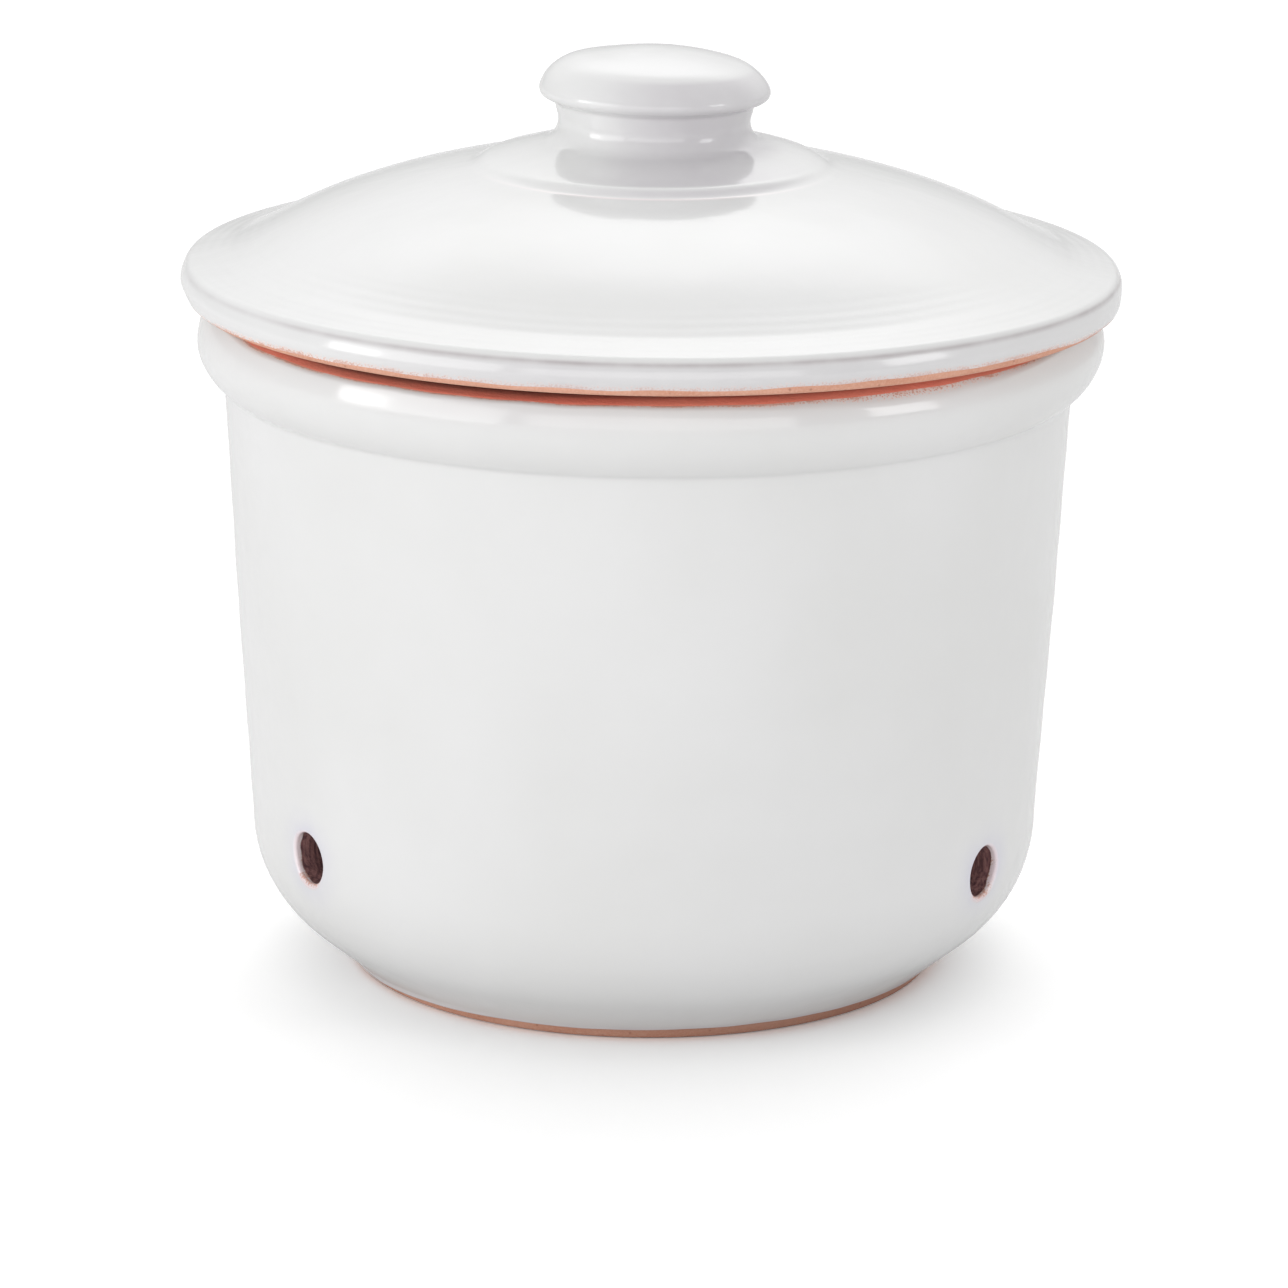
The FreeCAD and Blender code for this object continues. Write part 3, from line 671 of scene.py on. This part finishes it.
shell = Shell(["thin", "halo", "pool", "line", "grain", "ripple", "lining"])
glaze_rows = [p for p in lid_rows[1:] if lid_s[p] < lip_edge + 2.7]
outer_rings, inner_rings = [], []
for p in glaze_rows:
    w = -0.28 + 1.28 * lid_cover(lid_s[p])
    out = (1 - boss_soft)[:, None] * lid_out[p] + boss_soft[:, None] * lid_out_soft[p]
    r = lid_line[p, 0] + w * (out[:, 0] - lid_line[p, 0])
    z = lid_line[p, 1] + w * (out[:, 1] - lid_line[p, 1])
    thin = (1.0 - smooth((w - 0.05) / 0.85)) ** 0.75
    s = lid_s[p]
    line = np.exp(-0.5 * ((s - LIP_LINE) / 0.27) ** 2) * line_round
    face = float(smooth((s - KNOB_FACE) / 1.2))
    # painted shade and painted reflection: the glaze on the knob, the neck and the boss's top is painted greyer, less
    # on the left
    pool = (0.16 + 0.14 * face) * knob_left + 0.60 * knob_round * face
    pool += 0.10 * float(smooth((s - NECK[0]) / 1.0)) * knob_round
    pool *= 1.0 - (1.0 - boss_round) * float(smooth((s - NECK[1] + 0.5) / 6.0))
    pool *= 1.0 - float(smooth((s - BOSS + 1.2) / 1.8))
    # painted highlight: a thin ring at the inner edge of the boss's step is left less grey
    pool *= 1.0 - 0.8 * np.exp(-0.5 * ((s - BOSS_RING) / 0.28) ** 2)
    # painted highlight: a thin pale pinkish ring at the outer foot of the boss's step
    lining = 0.5 * np.exp(-0.5 * ((s - BOSS - 0.3) / 0.32) ** 2) * boss_round ** 1.5
    # painted shade: the lip's face below the crease is painted greyer, most at the front
    pool += lip_round * float(smooth((s - LIP_LINE) / 0.8))
    thin = np.maximum(thin, 0.16 * np.exp(-0.5 * ((s - NECK[0] - 0.3) / 0.3) ** 2))
    blush = float(smooth((s - NECK[0] - 0.2) / 0.8) * smooth((NECK[0] + 4.0 - s) / 2.0))
    thin = np.maximum(thin, 0.24 * blush * bump_at(THETA, 33.0, 20.0))
    ripple = float(smooth((lid_line[p, 0] - 62.0) / 6.0) * smooth((78.3 - lid_line[p, 0]) / 1.2) * smooth((lid_line[p, 1] - 121.0) / 1.0))
    outer_rings.append(shell.ring(r, z, thin=thin, pool=pool, line=line, grain=0.8, ripple=ripple, lining=lining))
for p in glaze_rows:
    n = (lid_out[p] - lid_line[p])
    n = n / max(np.hypot(*n), 1e-6)
    inner_rings.append(shell.ring(lid_line[p, 0] - 0.14 * n[0], lid_line[p, 1] - 0.14 * n[1], thin=1.0))
for a, b in zip(outer_rings, outer_rings[1:]):
    shell.skin(a, b)
for a, b in zip(inner_rings, inner_rings[1:]):
    shell.skin(a, b)
shell.skin(outer_rings[-1], inner_rings[-1])
shell.cap((0.0, 0.0, lid_out[0, 1]), outer_rings[0])
shell.cap((0.0, 0.0, lid_line[0, 1] - 0.14), inner_rings[0], thin=1.0)
lid_glaze = shell.build("Lid_Glaze", move_lid)

# ---------------------------------------------------------------------------
# Materials
# ---------------------------------------------------------------------------
class Nodes:
    """Short forms for making a node tree."""

    def __init__(self, name):
        self.material = bpy.data.materials.new(name)
        self.material.use_nodes = True
        self.tree = self.material.node_tree
        self.tree.nodes.clear()
        self.shader = self.make("ShaderNodeBsdfPrincipled")
        out = self.make("ShaderNodeOutputMaterial")
        self.link(self.shader.outputs[0], out.inputs["Surface"])
        self.place = self.make("ShaderNodeTexCoord").outputs["Object"]

    def make(self, kind, **values):
        node = self.tree.nodes.new(kind)
        for key, value in values.items():
            setattr(node, key, value)
        return node

    def link(self, a, b):
        self.tree.links.new(a, b)

    def put(self, socket, value):
        if hasattr(value, "default_value") or hasattr(value, "is_output"):
            self.link(value, socket)
        else:
            socket.default_value = value

    def noise(self, scale, detail=2.0, rough=0.5, distort=0.0, stretch=None):
        node = self.make("ShaderNodeTexNoise")
        node.inputs["Scale"].default_value = scale
        node.inputs["Detail"].default_value = detail
        node.inputs["Roughness"].default_value = rough
        node.inputs["Distortion"].default_value = distort
        if stretch:
            mapping = self.make("ShaderNodeMapping")
            mapping.inputs["Scale"].default_value = stretch
            self.link(self.place, mapping.inputs["Vector"])
            self.link(mapping.outputs[0], node.inputs["Vector"])
        else:
            self.link(self.place, node.inputs["Vector"])
        return node.outputs["Fac"]

    def mark(self, name):
        return self.make("ShaderNodeAttribute", attribute_name=name, attribute_type="GEOMETRY").outputs["Fac"]

    def math(self, kind, a, b=0.0, clamp=False):
        node = self.make("ShaderNodeMath", operation=kind, use_clamp=clamp)
        self.put(node.inputs[0], a)
        self.put(node.inputs[1], b)
        return node.outputs[0]

    def ramp(self, value, low, high, to_low=0.0, to_high=1.0):
        node = self.make("ShaderNodeMapRange", interpolation_type="SMOOTHSTEP")
        self.put(node.inputs["Value"], value)
        node.inputs["From Min"].default_value = low
        node.inputs["From Max"].default_value = high
        node.inputs["To Min"].default_value = to_low
        node.inputs["To Max"].default_value = to_high
        return node.outputs["Result"]

    def mix(self, factor, a, b, blend="MIX"):
        node = self.make("ShaderNodeMix", data_type="RGBA", blend_type=blend)
        self.put(node.inputs["Factor"], factor)
        for socket, value in ((node.inputs[6], a), (node.inputs[7], b)):
            if isinstance(value, tuple):
                socket.default_value = (*value, 1.0)
            else:
                self.link(value, socket)
        return node.outputs[2]

    def bump(self, height, distance, before=None, strength=1.0):
        node = self.make("ShaderNodeBump")
        node.inputs["Strength"].default_value = strength
        node.inputs["Distance"].default_value = distance
        self.link(height, node.inputs["Height"])
        if before is not None:
            self.link(before, node.inputs["Normal"])
        return node.outputs[0]


def glaze_material(name):
    m = Nodes(name)
    cloud = m.ramp(m.noise(22.0, 3.0), 0.3, 0.7)
    white = m.mix(cloud, (0.705, 0.705, 0.70), (0.735, 0.735, 0.735))
    # clay showing pink through the glaze where it is thin
    break_up = m.noise(900.0, 3.0, 0.6)
    uneven = m.noise(130.0, 3.0, 0.55)
    thin = m.mark("thin")
    amount = m.math("MULTIPLY", thin, m.ramp(uneven, 0.25, 0.75, 0.55, 1.25))
    amount = m.math("ADD", amount, m.math("MULTIPLY", m.math("MULTIPLY", thin, m.math("SUBTRACT", break_up, 0.5)), 0.9), clamp=True)
    dots = m.make("ShaderNodeTexVoronoi", feature="F1")
    dots.inputs["Scale"].default_value = 2700.0
    m.link(m.place, dots.inputs["Vector"])
    dot = m.math("SUBTRACT", m.ramp(dots.outputs["Distance"], 0.2, 0.6, 1.0, 0.0), 0.5)
    dot = m.math("MULTIPLY", m.math("MULTIPLY", dot, m.mark("grain")), m.ramp(thin, 0.02, 0.30))
    amount = m.math("ADD", amount, m.math("MULTIPLY", dot, 0.72), clamp=True)
    # painted light: inside a vent's edge the glaze is painted a bright pinkish white, brighter than the white glaze,
    # against the shade in the hole, and pink where thin glaze lies over the clay; the same colour paints a thin
    # highlight ring at the boss's edge
    white = m.mix(m.mark("lining"), white, (0.97, 0.84, 0.85))
    warm = m.mix(m.ramp(amount, 0.35, 1.0), (0.80, 0.68, 0.64), (0.62, 0.34, 0.26))
    colour = m.mix(m.ramp(amount, 0.02, 0.75), white, warm)
    # the blue and lilac tinge of thick glaze round the vents
    halo = m.math("MULTIPLY", m.mark("halo"), m.ramp(uneven, 0.3, 0.7, 0.45, 1.0), clamp=True)
    colour = m.mix(halo, colour, m.mix(0.75, colour, (0.80, 0.785, 0.95), "MULTIPLY"))
    # painted shade and painted reflection: the marked glaze is painted greyer, and the line where the glaze breaks over
    # the lip's crease is greyer too
    colour = m.mix(m.math("MULTIPLY", m.mark("pool"), m.ramp(uneven, 0.2, 0.8, 0.75, 1.0)), colour, (0.600, 0.584, 0.602))
    colour = m.mix(m.math("MULTIPLY", m.mark("line"), m.ramp(uneven, 0.2, 0.8, 0.55, 1.0)), colour, (0.44, 0.405, 0.415))
    # a few tiny specks in the glaze
    cells = m.make("ShaderNodeTexVoronoi", feature="F1")
    cells.inputs["Scale"].default_value = 62.0
    m.link(m.place, cells.inputs["Vector"])
    pick = m.make("ShaderNodeSeparateColor")
    m.link(cells.outputs["Color"], pick.inputs[0])
    speck = m.math("MULTIPLY", m.ramp(cells.outputs["Distance"], 0.008, 0.020, 1.0, 0.0),
                   m.ramp(pick.outputs[0], 0.90, 0.93))
    colour = m.mix(m.math("MULTIPLY", speck, 0.55), colour, (0.42, 0.40, 0.42))
    m.link(colour, m.shader.inputs["Base Color"])
    rough = m.ramp(amount, 0.2, 0.9, 0.10, 0.55)
    rough = m.math("ADD", rough, m.math("MULTIPLY", m.noise(60.0, 2.0), 0.05))
    m.link(rough, m.shader.inputs["Roughness"])
    m.shader.inputs["IOR"].default_value = 1.52
    rings = m.make("ShaderNodeTexWave", wave_type="RINGS", rings_direction="Z", wave_profile="SIN")
    rings.inputs["Scale"].default_value = 150.0
    rings.inputs["Distortion"].default_value = 0.8
    rings.inputs["Detail"].default_value = 2.0
    rings.inputs["Detail Scale"].default_value = 0.4
    m.link(m.place, rings.inputs["Vector"])
    normal = m.bump(m.math("MULTIPLY", rings.outputs["Fac"], m.mark("ripple")), 0.000022)
    normal = m.bump(m.noise(48.0, 2.0, 0.4), 0.00022, normal)
    normal = m.bump(m.noise(260.0, 2.0, 0.5), 0.00003, normal)
    m.link(normal, m.shader.inputs["Normal"])
    return m.material


def clay_material(name):
    m = Nodes(name)
    cloud = m.ramp(m.noise(55.0, 4.0, 0.6), 0.3, 0.7)
    colour = m.mix(cloud, (0.60, 0.285, 0.190), (0.68, 0.365, 0.262))
    bands = m.noise(1.0, 3.0, 0.6, stretch=(40.0, 40.0, 900.0))
    colour = m.mix(m.ramp(bands, 0.35, 0.75, 0.0, 0.35), colour, (0.52, 0.235, 0.155))
    grain = m.noise(2600.0, 2.0, 0.6)
    colour = m.mix(m.ramp(grain, 0.35, 0.75, 0.0, 0.45), colour, (0.74, 0.47, 0.36))
    grit = m.make("ShaderNodeTexVoronoi", feature="F1")
    grit.inputs["Scale"].default_value = 900.0
    m.link(m.place, grit.inputs["Vector"])
    pick = m.make("ShaderNodeSeparateColor")
    m.link(grit.outputs["Color"], pick.inputs[0])
    spot = m.math("MULTIPLY", m.ramp(grit.outputs["Distance"], 0.12, 0.3, 1.0, 0.0), m.ramp(pick.outputs[0], 0.82, 0.88))
    colour = m.mix(m.math("MULTIPLY", spot, 0.6), colour, (0.34, 0.14, 0.10))
    # the rim's clay is coloured a stronger red
    colour = m.mix(m.math("MULTIPLY", m.mark("flash"), m.ramp(cloud, 0.0, 1.0, 0.75, 0.95)), colour, (0.72, 0.185, 0.125))
    # painted shade: the clay is darkened in the gap between rim and lid and on the foot
    colour = m.mix(m.math("MULTIPLY", m.mark("deep"), 0.88), colour, (0.115, 0.042, 0.026))
    # painted shade: the vent's bore is darkened, in streaks
    streak = m.ramp(m.noise(1.0, 3.0, 0.65, 0.3, stretch=(1500.0, 1500.0, 230.0)), 0.35, 0.68)
    colour = m.mix(m.math("MULTIPLY", m.mark("soot"), 0.95), colour, m.mix(streak, (0.105, 0.045, 0.055), (0.34, 0.17, 0.165)))
    # the inside has a duller, browner face
    colour = m.mix(m.math("MULTIPLY", m.mark("dust"), 0.35), colour, (0.50, 0.27, 0.20))
    m.link(colour, m.shader.inputs["Base Color"])
    m.link(m.ramp(grain, 0.3, 0.7, 0.78, 0.92), m.shader.inputs["Roughness"])
    m.shader.inputs["IOR"].default_value = 1.45
    normal = m.bump(bands, 0.00010)
    normal = m.bump(grain, 0.00009, normal)
    normal = m.bump(m.noise(700.0, 3.0, 0.6), 0.00012, normal)
    m.link(normal, m.shader.inputs["Normal"])
    return m.material


glaze_look = glaze_material("White_Glaze")
clay_look = clay_material("Terracotta")
for piece, look, slot, body, node in (
        (pot_clay, clay_look, "terracotta", "pot", "pot_clay"),
        (pot_glaze, glaze_look, "white_glaze", "pot", "pot_glaze"),
        (lid_clay, clay_look, "terracotta", "lid", "lid_clay"),
        (lid_glaze, glaze_look, "white_glaze", "lid", "lid_glaze")):
    piece.data.materials.append(look)
    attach(piece, body)
    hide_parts(node)
for node, look in (("pot_clay", clay_look), ("lid_clay", clay_look), ("pot_glaze", glaze_look), ("lid_glaze", glaze_look)):
    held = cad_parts[node]
    if held.material_slots:
        for place in held.material_slots:
            place.material = look
    else:
        held.data.materials.append(look)

# ---------------------------------------------------------------------------
# Floor, light and camera
# ---------------------------------------------------------------------------
FLOOR, FLOOR_SEEN = 0.78, 1.15
floor_mesh = bpy.data.meshes.new("Floor")
floor_mesh.from_pydata([(-6, -6, -0.0001), (6, -6, -0.0001), (6, 6, -0.0001), (-6, 6, -0.0001)], [], [(0, 1, 2, 3)])
floor = bpy.data.objects.new("Floor", floor_mesh)
bpy.context.scene.collection.objects.link(floor)
m = Nodes("Pale_Floor")
# Plain all over. It is lit up to white where it is looked at directly, as the
# sweep in a product photograph, and gives the pot back the light of a pale floor.
m.link(m.mix(m.ramp(m.noise(3.0, 2.0), 0.3, 0.7), (FLOOR, FLOOR, FLOOR), (FLOOR + 0.01, FLOOR + 0.01, FLOOR + 0.01)),
       m.shader.inputs["Base Color"])
m.shader.inputs["Roughness"].default_value = 0.9
m.shader.inputs["Specular IOR Level"].default_value = 0.1
seen = m.make("ShaderNodeBsdfDiffuse")
seen.inputs["Color"].default_value = (FLOOR_SEEN, FLOOR_SEEN, FLOOR_SEEN, 1.0)
both = m.make("ShaderNodeMixShader")
m.link(m.make("ShaderNodeLightPath").outputs["Is Camera Ray"], both.inputs["Fac"])
m.link(m.shader.outputs[0], both.inputs[1])
m.link(seen.outputs[0], both.inputs[2])
m.link(both.outputs[0], next(n for n in m.tree.nodes if n.type == "OUTPUT_MATERIAL").inputs["Surface"])
floor.data.materials.append(m.material)

def from_centre(azimuth, elevation, away=2.0):
    """A place round the pot, azimuth in degrees from the front, to the right positive."""
    a, e = math.radians(azimuth), math.radians(elevation)
    return (away * math.cos(e) * math.sin(a), -away * math.cos(e) * math.cos(a), 0.08 + away * math.sin(e))


# A room brighter overhead and to the sides, with a white wall lit from above behind the pot
ROOM = 0.0
SIDES = [(2, 1.0, 1.0, 0.664), (1, 1.0, 2.0, 0.415), (0, 1.0, 2.0, 0.64), (0, -1.0, 2.0, 0.42)]
# bright places on the wall behind: degrees to the right of straight behind, elevation, tightness, strength
GLOWS = [(4.0, 45.0, 4.5, 0.97), (4.0, 42.0, 36.0, 0.86), (4.0, 53.0, 100.0, 0.60), (-20.0, 43.0, 60.0, 0.5), (26.0, 42.0, 60.0, 0.55),
         (38.0, 25.0, 24.0, 0.20), (-42.0, 25.0, 24.0, 0.16)]
LIGHTS = [
    # name, place, width, height, watts
    ("Front", (0.10, -2.0, 0.45), 2.6, 0.8, 13.0),
    ("Left_Front", (-1.6, -1.0, 0.42), 1.6, 0.9, 12.3),
    ("Left_Key", from_centre(-74.0, 9.0), 0.50, 0.50, 2.9),
    ("Right_Key", from_centre(66.0, 16.0), 0.60, 0.60, 4.3),
]

world = bpy.data.worlds.new("Studio")
world.use_nodes = True
sky = world.node_tree
background = sky.nodes["Background"]
background.inputs["Color"].default_value = (1.0, 1.0, 1.0, 1.0)
place = sky.nodes.new("ShaderNodeTexCoord").outputs["Generated"]
way = sky.nodes.new("ShaderNodeSeparateXYZ")
sky.links.new(place, way.inputs[0])


def sky_math(kind, a, b):
    node = sky.nodes.new("ShaderNodeMath")
    node.operation = kind
    for socket, value in ((node.inputs[0], a), (node.inputs[1], b)):
        if isinstance(value, float):
            socket.default_value = value
        else:
            sky.links.new(value, socket)
    return node.outputs[0]


def lobe(value, power, strength):
    return sky_math("MULTIPLY", sky_math("POWER", sky_math("MAXIMUM", value, 0.0), power), strength)


total = ROOM
for side, sign, power, strength in SIDES:
    total = sky_math("ADD", lobe(sky_math("MULTIPLY", way.outputs[side], sign), power, strength), total)
for turn, elevation, power, strength in GLOWS:
    towards = sky.nodes.new("ShaderNodeVectorMath")
    towards.operation = "DOT_PRODUCT"
    sky.links.new(place, towards.inputs[0])
    level = math.cos(math.radians(elevation))
    towards.inputs[1].default_value = (level * math.sin(math.radians(turn)), level * math.cos(math.radians(turn)), math.sin(math.radians(elevation)))
    total = sky_math("ADD", lobe(towards.outputs["Value"], power, strength), total)
sky.links.new(total, background.inputs["Strength"])
bpy.context.scene.world = world


def aim(thing, target):
    way = Vector(target) - thing.location
    thing.rotation_euler = way.to_track_quat("-Z", "Y").to_euler()


for name, spot, width, height, watts in LIGHTS:
    lamp = bpy.data.lights.new(name, "AREA")
    lamp.shape = "RECTANGLE"
    lamp.size, lamp.size_y = width, height
    lamp.energy = watts
    holder = bpy.data.objects.new(name, lamp)
    holder.location = spot
    aim(holder, (0.0, 0.0, 0.08))
    bpy.context.scene.collection.objects.link(holder)

camera_data = bpy.data.cameras.new("Camera")
camera_data.sensor_fit = "HORIZONTAL"
camera_data.sensor_width = 36.0
camera_data.lens = 36.0 * 6267.0 / 1288.0
camera_data.clip_start = 0.01
camera_data.clip_end = 50.0
camera_data.shift_x = -3.5 / 1288.0
camera = bpy.data.objects.new("Camera", camera_data)
ELEVATION = math.radians(15.32)
camera.matrix_world = (Matrix.Translation((0.0, -1.0839 * math.cos(ELEVATION), 0.05469 + 1.0839 * math.sin(ELEVATION)))
                       @ Matrix.Rotation(math.pi / 2 - ELEVATION, 4, "X")
                       @ Matrix.Rotation(math.radians(0.58), 4, "Z"))
bpy.context.scene.collection.objects.link(camera)
bpy.context.scene.camera = camera
bpy.context.scene.view_settings.view_transform = "Standard"

bpy.context.view_layer.update()
